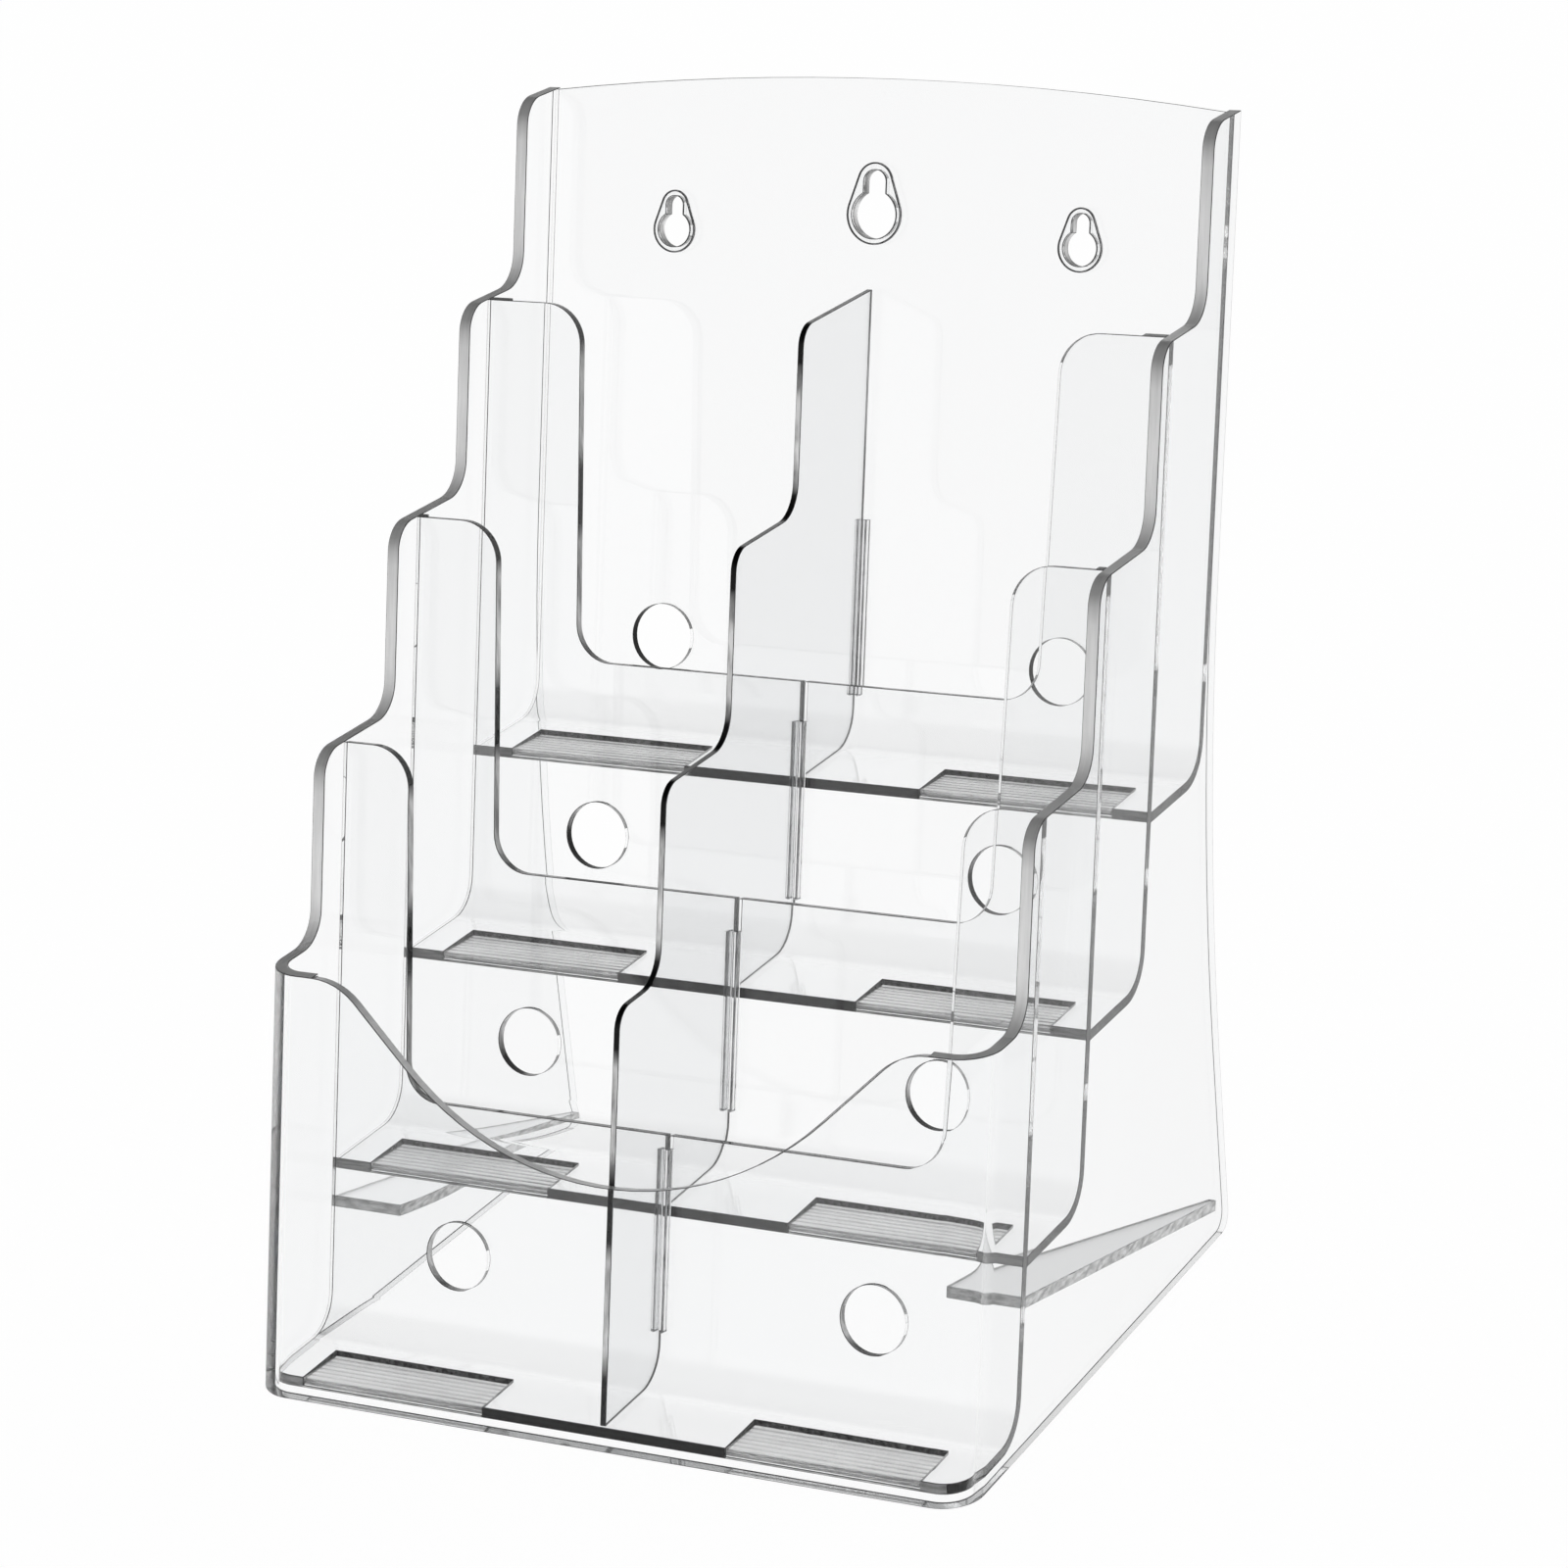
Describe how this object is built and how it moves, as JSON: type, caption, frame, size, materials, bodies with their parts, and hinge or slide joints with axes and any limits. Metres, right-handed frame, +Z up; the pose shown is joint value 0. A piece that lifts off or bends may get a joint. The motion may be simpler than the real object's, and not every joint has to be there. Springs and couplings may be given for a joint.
{
  "type": "brochure rack",
  "caption": "Clear plastic countertop brochure rack with four stepped, leaning tiers split in two by a lift-out divider; the back sheet has keyholes for hanging it on a wall.",
  "frame": {"origin": "on the table top, in the middle of the rack's overall width and depth", "axes": "+Z up, +Y to the back, towards which the tiers lean, +X to the right seen from the front"},
  "size_m": [0.238, 0.2476, 0.3586],
  "materials": {
    "clear_wall": "clear, polished, 4 mm",
    "clear_sheet": "clear, polished, 3.2 mm",
    "clear_divider": "clear, polished, 2 mm",
    "clear_trim": "clear, moulded",
    "ribbed_strip": "clear, finely ribbed"
  },
  "bodies": {
    "rack": {"foot_brace_left": "clear_sheet", "foot_brace_right": "clear_sheet", "grip_strip_lower_left": "ribbed_strip", "grip_strip_lower_right": "ribbed_strip", "grip_strip_middle_left": "ribbed_strip", "grip_strip_middle_right": "ribbed_strip", "grip_strip_top_left": "ribbed_strip", "grip_strip_top_right": "ribbed_strip", "grip_strip_upper_left": "ribbed_strip", "grip_strip_upper_right": "ribbed_strip", "guide_rib_lower_left": "clear_trim", "guide_rib_lower_right": "clear_trim", "guide_rib_middle_left": "clear_trim", "guide_rib_middle_right": "clear_trim", "guide_rib_top_left": "clear_trim", "guide_rib_top_right": "clear_trim", "guide_rib_upper_left": "clear_trim", "guide_rib_upper_right": "clear_trim", "keyhole_pad_centre": "clear_trim", "keyhole_pad_left": "clear_trim", "keyhole_pad_right": "clear_trim", "lower_sheet": "clear_sheet", "middle_sheet": "clear_sheet", "outer_wrap": "clear_wall", "top_sheet": "clear_sheet", "upper_sheet": "clear_sheet"},
    "divider": {"divider": "clear_divider"}
  },
  "joints": [
    {"name": "divider_lift", "type": "slide", "parent": "rack", "child": "divider", "axis": [0, 0.2164, 0.9763], "range_m": [0, 0.1]}
  ]
}
